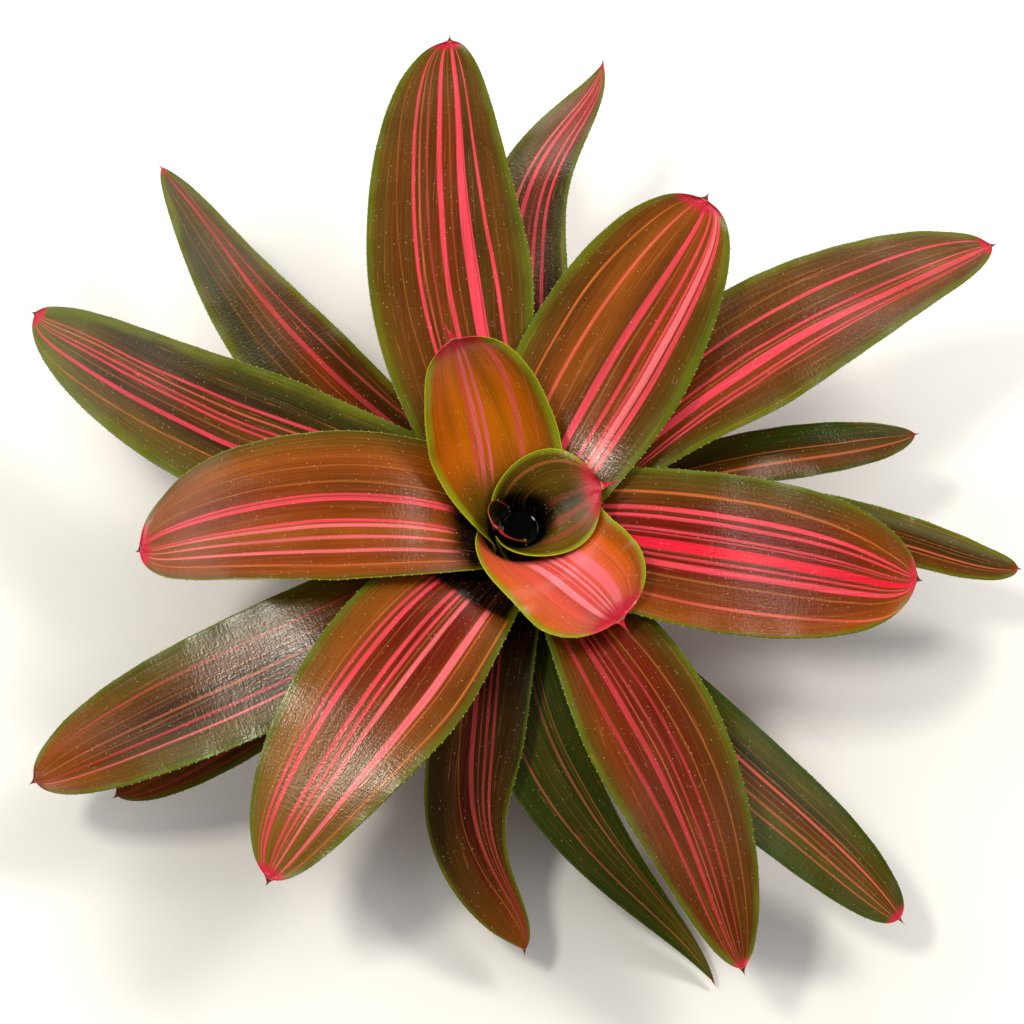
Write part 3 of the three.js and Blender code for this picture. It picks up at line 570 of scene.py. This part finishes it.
def leafMesh(leaf, draw):
    # the closed skin of one leaf: loops of upper and lower columns that meet at the margins,
    # rows from the root to the foot of the end spine, and the spine drawn to a point by
    # 0.8 (1 - s)^2.6 + 0.2 (1 - s)^0.8
    d, r = leafDetail, rosette
    curves = leafCurves(leaf)
    share = r["sheathShare"]
    rows = np.linspace(0, 1, d["bladeRows"])
    blade = 1 - (1 - rows) ** 1.6 * (1 - 0.12 * (1 - rows))
    blade = (blade - blade[0]) / (blade[-1] - blade[0])
    sheath = np.linspace(0, share, d["sheathRows"], endpoint=False)
    along = np.concatenate([sheath, share + (1 - share) * blade])
    inner = np.linspace(-1, 1, d["columns"]) * (d["roundFrom"] - 0.012)
    edge = np.array([d["roundFrom"], 0.992, 0.9975, 1])
    across = np.concatenate([-edge[::-1], inner, edge])
    surface = leafSurface(leaf, curves, along, across)
    normal = leafNormal(leaf, curves, along, across)
    middle = middlePoint(leaf, curves, along)
    lengthMm = np.concatenate([[0], np.cumsum(np.linalg.norm(np.diff(middle, axis=0), axis=1))])
    u = bladeShare(along)
    sideMm = halfWidth(leaf, curves, along)[:, None]
    tipMm = (lengthMm[-1] - lengthMm)[:, None]
    lift = swell(leaf, lengthMm, u, across[None], draw)
    lift = lift + tipLift(tipMm, sideMm * across, across) * leaf["beak"] / plainLeaf["beak"]
    surface = surface + normal * lift[..., None]
    half = halfThickness(along, across, d["roundFrom"])[..., None]

    forward = leafFrame(leaf, curves, np.array([1.0]))[0]
    s = np.linspace(0, 1, d["spineRows"] + 1)[1:, None, None]
    outward = unit(middle[-1] * [1, 1, 0])
    hook = np.array([0, 0, 1]) * leaf["hook"] + outward * leaf["throw"]
    centre = middle[-1] + leaf["spine"] * (s * forward + s ** 1.7 * hook)
    taper = 0.8 * (1 - s) ** 2.6 + 0.2 * (1 - s) ** 0.8
    spineMiddle = centre + (surface[-1:] - middle[-1]) * taper
    needle = np.minimum(d["needleRadius"], leaf["beak"] * taper) * np.sqrt(1 - across ** 2)[:, None]
    spineHalf = half[-1:] * (1 - s) ** 3 + needle * (1 - (1 - s) ** 3)

    rows = np.concatenate([surface, spineMiddle[:-1]])
    normals = np.concatenate([normal, np.repeat(normal[-1:], d["spineRows"] - 1, 0)])
    halves = np.concatenate([half, spineHalf[:-1]])
    upper = rows + normals * halves
    lower = (rows - normals * halves)[:, -2:0:-1]
    loops = np.concatenate([upper, lower], 1)
    n, m = loops.shape[:2]
    columns = len(across)

    index = np.arange(n * m).reshape(n, m)
    turned = np.roll(index, -1, axis=1)
    quads = np.stack([index[:-1], index[1:], turned[1:], turned[:-1]], -1).reshape(-1, 4)
    root = index[0]
    tips = np.stack([index[-1], np.full(m, n * m), turned[-1]], -1)
    low = np.concatenate([root[:1], root[:columns - 1:-1], root[columns - 1:columns]])
    cap = np.stack([root[:columns - 1], root[1:columns], low[1:], low[:-1]], -1)
    teeth, rings = toothRows(surface, normal, lengthMm, draw)
    apex = middle[-1:] + leaf["spine"] * (forward + hook)
    points = np.concatenate([loops.reshape(-1, 3), apex, teeth])
    faces = [quads, tips, cap[1:-1], cap[:1, :3], cap[-1:, [0, 1, 3]], *toothFaces(n * m + 1, rings)]
    return points, faces, leafFields(leaf, across, u, lengthMm, sideMm, n, len(teeth))


def leafFields(leaf, across, u, lengthMm, sideMm, rowCount, toothCount):
    # what the finish reads at each point. bladePlace: place among the stripes, which is
    # c - lean (u - 0.5) - swing max(0, u - 0.6)^2; place across c; 0 leaf, 1 tooth, 2 spine.
    # bladeSize: mm across and along, seed. bladeEdge: mm to the margin, mm to the tip, share
    # along. bladeTint: shares of the foot, crown and blush colours; the foot share carries painted
    # shade where the foot colour is near black
    around = np.concatenate([across, across[-2:0:-1]])
    spare = rowCount - len(u)
    columns = []
    for column, last in ((u, 1), (lengthMm, lengthMm[-1]), (sideMm[:, 0], 0), (u * 0, 2)):
        columns.append(np.concatenate([column, np.full(spare, last)])[:, None])
    along, length, side, spine = columns
    along = np.clip(along, 0, 1)
    tipMm = lengthMm[-1] - length
    drift = leaf["lean"] * (along - 0.5) + leaf["swing"] * np.maximum(0, along - 0.6) ** 2
    flat = np.zeros((rowCount, len(around)))
    place = np.stack([around - drift, around + flat, spine + flat], -1)
    size = np.stack([around * leaf["width"] / 2 + flat, length + flat, leaf["level"] * 7.3 + flat], -1)
    edge = np.stack([side * trimming(leaf, along[:, 0], around) * (1 - np.abs(around)), tipMm + flat,
                     along + flat], -1)
    blushMm = leaf["blush"] * (1 - 0.35 * np.abs(around))
    tint = np.stack([1 - ease(*leaf["footSpan"], along) + flat,
                     ease(leaf["crownFrom"], 1.05, along) + flat, 1 - ease(0.25, 1, tipMm / blushMm)], -1)
    fields = dict(bladePlace=(place, (0, 1, 2), (0, 0, 1)), bladeSize=(size, (0, 0, 0), (0, 0, 0)),
                  bladeEdge=(edge, (0, 0, 1), (0, 50, 0.5)), bladeTint=(tint, (0, 1, 1), (0, 0, 0)))
    full = {}
    for name, (table, apex, tooth) in fields.items():
        teeth = np.tile(np.array(tooth, float), (toothCount, 1))
        full[name] = np.concatenate([table.reshape(-1, 3), [apex], teeth])
    return full


# Waxy living leaf: a thin clear cuticle over striped tissue, with fine parallel veins and
# scattered pale scales. To the eye: soft gloss that breaks up along the veins.
leafFinish = dict(
    ior=1.4, subsurface=0.05, scatterMm=(1.6, 0.7, 0.25),
    stripeEdge=0.008, wander=0.012, threadReach=0.005,
    # pitch across and along in mm, and octaves, of each pattern in the tissue
    patterns=dict(vein=(0.75, 70, 3.0), band=(7, 150, 3.0), blotch=(16, 34, 3.0), drift=(10, 60, 1.0),
                  thread=(2.3, 240, 1.0), fade=(6, 80, 2.0), grain=(1.1, 1.7, 2.0), row=(5, 1.2, 2.0)),
    # pitch across and along in mm, inner and outer size in cells, threshold, strength
    scales=((1.9, 3.8, 0.06, 0.13, 0.66, 0.6), (3.2, 1.0, 0.08, 0.2, 0.78, 0.3)),
    reliefMm=dict(vein=0.07, row=0.13, grain=0.12),
)


def stripeLayers(stripes):
    # one layer holds up to seven stripes that stay clear of each other, the widest first, so
    # a thin stripe inside a wide one lies in a later layer
    layers = []
    for place, width, colour, strength in sorted(stripes, key=lambda stripe: -stripe[1]):
        for layer in layers:
            gaps = [abs(place - other[0]) - (width + other[1]) / 2 for other in layer]
            if len(layer) < 7 and min(gaps) > leafFinish["stripeEdge"] * 2:
                break
        else:
            layer = []
            layers.append(layer)
        layer.append((place, width, colour, strength))
    return layers


def stripeStops(stripes):
    # trapezoids in a ramp: clear, full strength over the width, clear
    edge = leafFinish["stripeEdge"] / 2
    stops = []
    for place, width, colour, strength in sorted(stripes):
        centre, half = (place + 1) / 2, width / 4
        clear, shown = linear(tissue[colour], 0), linear(tissue[colour], strength)
        stops += [(centre - half - edge, clear), (centre - half + edge * 0.6, shown),
                  (centre + half - edge * 0.6, shown), (centre + half + edge, clear)]
    return stops


def leafMaterial(leaf):
    # layers of colour from the ground up: ground, crown, bands, foot (painted shade of the throat
    # where near black), margin, veins, clouds, hair lines, stripes, rim, tip, scales, teeth
    f = leafFinish
    material, tree, shader = newMaterial("waxyStripedLeaf_" + leaf["node"][-2:])
    place, size, edge, tint = [addNode(tree, "Attribute", attribute_name=name).outputs["Vector"]
                               for name in ("bladePlace", "bladeSize", "bladeEdge", "bladeTint")]
    stripeAt, across, horn = addNode(tree, "SeparateXYZ", {0: place}).outputs
    marginMm, tipMm, _ = addNode(tree, "SeparateXYZ", {0: edge}).outputs
    foot, crown, blush = addNode(tree, "SeparateXYZ", {0: tint}).outputs
    pattern = {}
    for name, (pitchAcross, pitchAlong, octaves) in f["patterns"].items():
        at = addNode(tree, "Mapping", {"Vector": size, "Scale": (1 / pitchAcross, 1 / pitchAlong, 1)})
        pattern[name] = addNode(tree, "TexNoise", {"Vector": at, "Scale": 1.0, "Detail": octaves})
    thread = addNode(tree, "Math", {0: pattern["thread"], 1: 0.5, 2: f["threadReach"]}, operation="COMPARE")
    width = leaf["margin"]
    border = addNode(tree, "Math", {0: pattern["blotch"], 1: -width, 2: marginMm}, operation="MULTIPLY_ADD")

    # each mask: its source, two limits of it, and the values it eases between
    masks = dict(
        wander=(pattern["drift"], 0, 1, -f["wander"], f["wander"]),
        crown=(crown, 0, 1, 0, leaf["crownShare"]),
        band=(pattern["band"], 0.42, 0.7, 0, 0.3),
        green=(border, -0.3 * width, 0.75 * width, 0.85, 0),
        vein=(pattern["vein"], 0.3, 0.7, 0.88, 1.1),
        stripeVein=(pattern["vein"], 0.3, 0.7, 0.84, 1.06),
        cloud=(pattern["blotch"], 0.3, 0.72, 0.86, 1.12),
        thread=(thread, 0, 1, 0, 0.4),
        fade=(pattern["fade"], 0.3, 0.6, 0.7, 1),
        # stripes fade out over the foot colour, which is painted shade where it is near black
        deep=(foot, 0, 1, 1, 0.02),
        rim=(marginMm, 0.25, 0.6, 0.75, 0),
        blush=(blush, 0, 1, 0, 0.8),
        beak=(tipMm, 0.5, 5, 0.75, 0),
        tooth=(horn, 0.4, 1, 0, 1),
        spine=(horn, 1.2, 2, 0, 1),
        rough=(pattern["vein"], 0.3, 0.75, leaf["gloss"] - 0.14, leaf["gloss"]),
    )
    mask = {name: addNode(tree, "MapRange", dict(enumerate(values)), interpolation_type="SMOOTHSTEP")
            for name, values in masks.items()}

    # places from -1..1 across the blade, with the wander of the drift pattern, to 0..1 of a ramp
    rampAt = {}
    for name, source in (("ground", across), ("stripe", stripeAt)):
        wandering = addNode(tree, "Math", {0: source, 1: mask["wander"]}, operation="ADD")
        rampAt[name] = addNode(tree, "Math", {0: wandering, 1: 0.5, 2: 0.5}, operation="MULTIPLY_ADD")
    steps = len(leaf["ground"]) - 1
    stops = [(n / steps, linear(tissue[tone])) for n, tone in enumerate(leaf["ground"])]
    colour = fillRamp(addNode(tree, "ValToRGB", {0: rampAt["ground"]}), stops)
    # the foot layer is painted shade of the throat where its colour is near black
    layers = [(mask["crown"], "MIX", leaf["crown"]), (mask["band"], "MIX", "olive"),
              (foot, "MIX", leaf["foot"]), (mask["green"], "MIX", leaf["marginTone"]),
              (1.0, "MULTIPLY", mask["vein"]), (1.0, "MULTIPLY", mask["cloud"]),
              (mask["thread"], "MIX", "ochre")]

    strength = addNode(tree, "Math", {0: mask["fade"], 1: mask["deep"]}, operation="MULTIPLY")
    for stripes in stripeLayers(leaf["stripes"]):
        ramp = fillRamp(addNode(tree, "ValToRGB", {0: rampAt["stripe"]}), stripeStops(stripes))
        veined = addNode(tree, "Mix", {0: 1.0, 6: ramp, 7: mask["stripeVein"]},
                         data_type="RGBA", blend_type="MULTIPLY")
        shown = addNode(tree, "Math", {0: ramp.outputs["Alpha"], 1: strength}, operation="MULTIPLY")
        layers.append((shown, "MIX", veined.outputs[2]))
    layers += [(mask["rim"], "MIX", leaf["edge"]), (mask["blush"], "MIX", leaf["tipTone"]),
               (mask["beak"], "MIX", leaf["tipTone"])]

    # pale scales: round dots and short dashes across the blade, on a share of the cells
    for pitchAcross, pitchAlong, near, far, chosen, most in f["scales"]:
        at = addNode(tree, "Mapping", {"Vector": size, "Scale": (1 / pitchAcross, 1 / pitchAlong, 1)})
        cell = addNode(tree, "TexVoronoi", {"Vector": at, "Scale": 1.0})
        spot = addNode(tree, "MapRange", {0: cell.outputs["Distance"], 1: near, 2: far, 3: most, 4: 0})
        rare = addNode(tree, "SeparateColor", {0: cell.outputs["Color"]})
        kept = addNode(tree, "Math", {0: rare, 1: chosen}, operation="GREATER_THAN")
        speck = addNode(tree, "Math", {0: spot, 1: kept}, operation="MULTIPLY")
        layers.append((speck, "MIX", "scale"))
    layers += [(mask["tooth"], "MIX", "tooth"), (mask["spine"], "MIX", leaf["spineTone"])]
    for factor, blend, tone in layers:
        tone = linear(tissue[tone]) if isinstance(tone, str) else tone
        colour = addNode(tree, "Mix", {0: factor, 6: colour, 7: tone}, data_type="RGBA", blend_type=blend)

    # veins, cross rows and grain, each bump laid over the one before
    below = {}
    for name, depth in f["reliefMm"].items():
        height = {"Height": pattern[name], "Strength": 0.7, "Distance": depth * metre}
        normal = addNode(tree, "Bump", {**height, **below})
        below = {"Normal": normal}
    for socket, source in (("Base Color", colour.outputs[2]), ("Roughness", mask["rough"].outputs[0]),
                           ("Normal", normal.outputs[0])):
        tree.links.new(source, shader.inputs[socket])
    shader.inputs["IOR"].default_value = f["ior"]
    shader.inputs["Subsurface Weight"].default_value = f["subsurface"]
    shader.inputs["Subsurface Radius"].default_value = [mm * metre for mm in f["scatterMm"]]
    shader.inputs["Subsurface Scale"].default_value = 1.0
    return material


for order, own in enumerate(leaves):
    leaf = {**plainLeaf, **own}
    name, slot = leaf["node"], leaf["slot"]
    points, faces, attributes = leafMesh(leaf, np.random.default_rng(700 + order))
    newPiece("strap_" + name, points, faces, name, slot, leafMaterial(leaf), attributes)
print("leaves made:", len(leaves))


# Dry stem butt: fibrous brown tissue with the scars of old leaves, cut flat with a knife
stem = dict(
    rows=90, sides=144, scarPitch=2.6, scarDepth=0.35, fibreDepth=0.18, bevel=1.2,
    fibres=((0.25, "#3A2616"), (0.5, "#6E5232"), (0.8, "#A08858")), roughness=0.82,
)


def stemMesh():
    # a cone whose radius dips by scarDepth |sin(pi z / pitch)| and by fine upright fibres,
    # closed by rings that shrink to the axis on the cut foot and on top
    s, top = stem, rosette["stemHeight"]
    draw = np.random.default_rng(41)
    z = np.concatenate([[0], np.linspace(0, top, s["rows"]), [top]])
    turn = np.arange(s["sides"]) * 2 * math.pi / s["sides"]
    radius = stemRadius(z) - 0.05
    inset = s["bevel"] * (np.clip(1 - z / s["bevel"], 0, 1) + np.clip(1 - (top - z) / s["bevel"], 0, 1))
    scars = s["scarDepth"] * np.abs(np.sin(math.pi * z / s["scarPitch"]))
    fibres = s["fibreDepth"] * draw.uniform(0, 1, s["sides"])
    r = (radius - inset - scars)[:, None] - fibres[None] * (z[:, None] > 0) * (z[:, None] < top)
    r[0], r[-1] = r[1] * 0.5, r[-2] * 0.5
    height = np.repeat(z[:, None], len(turn), 1)
    ring = np.stack([r * np.cos(turn), r * np.sin(turn), height], -1)
    n, m = r.shape
    index = np.arange(n * m).reshape(n, m)
    turned = np.roll(index, -1, axis=1)
    walls = np.stack([index[:-1], turned[:-1], turned[1:], index[1:]], -1).reshape(-1, 4)
    foot = np.stack([turned[0], index[0], np.full(m, n * m)], -1)
    head = np.stack([index[-1], turned[-1], np.full(m, n * m + 1)], -1)
    points = np.concatenate([ring.reshape(-1, 3), [[0, 0, 0], [0, 0, top]]])
    return points, [walls, foot, head]


def stemMaterial():
    # matt dead fibre: upright streaks of brown, dull to the eye
    material, tree, shader = newMaterial("dryFibrousStem")
    place = addNode(tree, "TexCoord").outputs["Object"]
    at = addNode(tree, "Mapping", {"Vector": place, "Scale": (900, 900, 120)})
    fibre = addNode(tree, "TexNoise", {"Vector": at, "Scale": 1.0, "Detail": 4.0})
    tone = addNode(tree, "ValToRGB", {0: fibre})
    fillRamp(tone, [(stop, linear(colour)) for stop, colour in stem["fibres"]])
    bump = addNode(tree, "Bump", {"Height": fibre, "Strength": 0.8, "Distance": 0.3 * metre})
    tree.links.new(tone.outputs[0], shader.inputs["Base Color"])
    tree.links.new(bump.outputs[0], shader.inputs["Normal"])
    shader.inputs["Roughness"].default_value = stem["roughness"]
    return material


newPiece("cut_stem", *stemMesh(), "stem", "stem", stemMaterial())
print("stem made")


# Rain water in the cup: still and dark, its near black colour painted shade of the deep tank, drawn up a
# little where it wets the leaf
water = dict(
    radius=9.2, bottom=64.4, top=92, meniscus=0.6, reach=0.9, rings=26, sides=96,
    paintedDepthShade=((0.45, "#030402"), (0.68, "#060705"), (0.85, "#14130C")), roughness=0.03, ior=1.333,
)


def waterMesh():
    # a plug whose top is flat but for a rim of height meniscus * exp(-(R - r) / reach)
    w = water
    r = w["radius"] * np.linspace(0, 1, w["rings"] + 1)[1:] ** 0.7
    z = w["top"] - w["meniscus"] + w["meniscus"] * np.exp(-(w["radius"] - r) / w["reach"])
    r = np.concatenate([r, [w["radius"]] * 2])
    z = np.concatenate([z, [w["top"] - 6, w["bottom"]]])
    turn = np.arange(w["sides"]) * 2 * math.pi / w["sides"]
    height = np.repeat(z[:, None], len(turn), 1)
    ring = np.stack([r[:, None] * np.cos(turn), r[:, None] * np.sin(turn), height], -1)
    n, m = len(r), len(turn)
    index = np.arange(n * m).reshape(n, m)
    turned = np.roll(index, -1, axis=1)
    walls = np.stack([index[:-1], index[1:], turned[1:], turned[:-1]], -1).reshape(-1, 4)
    top = np.stack([np.full(m, n * m), index[0], turned[0]], -1)
    floor = np.stack([np.full(m, n * m + 1), turned[-1], index[-1]], -1)
    middleTop = [0, 0, w["top"] - w["meniscus"]]
    points = np.concatenate([ring.reshape(-1, 3), [middleTop, [0, 0, w["bottom"]]]])
    return points, [walls, top, floor]


def waterMaterial():
    # brown tank water: a mirror over near black, which is painted shade of the deep tank, with faint random
    # speckle
    material, tree, shader = newMaterial("stillTankWater")
    place = addNode(tree, "TexCoord").outputs["Object"]
    paintedDepthShade = addNode(tree, "TexNoise", {"Vector": place, "Scale": 260.0, "Detail": 3.0})
    tone = addNode(tree, "ValToRGB", {0: paintedDepthShade})
    fillRamp(tone, [(stop, linear(colour)) for stop, colour in water["paintedDepthShade"]])
    tree.links.new(tone.outputs[0], shader.inputs["Base Color"])
    shader.inputs["Roughness"].default_value = water["roughness"]
    shader.inputs["IOR"].default_value = water["ior"]
    return material


newPiece("cup_water", *waterMesh(), "tank_water", "water", waterMaterial())
print("water made")


# Floor, lights and camera. The camera looks down at 65 degrees, as the photograph does.
# Lights: azimuth, elevation, distance, size, power, tone, and whether leaves mirror them
stage = dict(
    floorSize=24.0, floorColour="#FAFAF8", floorRoughness=0.9, worldStrength=0.05,
    cameraElevation=65, cameraDistance=1.2, cameraTarget=(-0.0038, 0, 0.111),
    lensPixels=2500, imageSide=1024,
    lights=dict(
        ceiling=(-90, 88, 2.4, (5.6, 5.6), 56, "#FFFEFC", False),
        keyBox=(28, 50, 2.3, (0.55, 0.55), 18, "#FFFAF0", False),
        backBox=(100, 38, 2.6, (4.4, 0.8), 18, "#FFFEFA", True),
        leftBox=(155, 37, 2.4, (1.1, 1.2), 9, "#FFFCF4", True),
        leftHighBox=(174, 65, 2.2, (0.4, 0.3), 16, "#FFF8E8", True),
        rightHighBox=(50, 55, 2.3, (0.5, 0.35), 4.5, "#FFFAEE", True),
        rightBox=(-12, 56, 2.4, (1.1, 0.5), 2, "#FFFEFA", True),
    ),
)

floorMesh = bpy.data.meshes.new("floor")
side = stage["floorSize"] / 2
corners = [(-side, -side, 0), (side, -side, 0), (side, side, 0), (-side, side, 0)]
floorMesh.from_pydata(corners, [], [(0, 1, 2, 3)])
floor = bpy.data.objects.new("floor", floorMesh)
bpy.context.scene.collection.objects.link(floor)
floorMaterial, floorTree, floorShader = newMaterial("mattePaperSweep")
floorShader.inputs["Base Color"].default_value = linear(stage["floorColour"])
floorShader.inputs["Roughness"].default_value = stage["floorRoughness"]
floorMesh.materials.append(floorMaterial)

world = bpy.data.worlds.new("studio")
world.use_nodes = True
world.node_tree.nodes["Background"].inputs["Color"].default_value = linear("#FFFFFF")
world.node_tree.nodes["Background"].inputs["Strength"].default_value = stage["worldStrength"]
bpy.context.scene.world = world


def addLight(name, azimuth, elevation, distance, size, power, tone, mirrored):
    # a soft box, size wide and high, that looks at the middle of the plant
    light = bpy.data.lights.new(name, "AREA")
    light.shape, light.size, light.size_y, light.energy = "RECTANGLE", *size, power
    light.color = linear(tone)[:3]
    lamp = bpy.data.objects.new(name, light)
    a, e = math.radians(azimuth), math.radians(elevation)
    lamp.location = Vector((math.cos(a) * math.cos(e), math.sin(a) * math.cos(e), math.sin(e))) * distance
    lamp.rotation_mode = "QUATERNION"
    lamp.rotation_quaternion = (Vector(stage["cameraTarget"]) - lamp.location).to_track_quat("-Z", "Y")
    lamp.visible_glossy = mirrored
    bpy.context.scene.collection.objects.link(lamp)


for name, values in stage["lights"].items():
    addLight(name, *values)

cameraData = bpy.data.cameras.new("camera")
camera = bpy.data.objects.new("camera", cameraData)
elevation = math.radians(stage["cameraElevation"])
back = Vector((0, -math.cos(elevation), math.sin(elevation)))
camera.location = Vector(stage["cameraTarget"]) + back * stage["cameraDistance"]
camera.rotation_mode = "QUATERNION"
camera.rotation_quaternion = (-back).to_track_quat("-Z", "Y")
cameraData.sensor_width = 36
cameraData.lens = 36 * stage["lensPixels"] / stage["imageSide"]
bpy.context.scene.collection.objects.link(camera)
bpy.context.scene.camera = camera
bpy.context.scene.view_settings.view_transform = "Standard"
print("stage set")
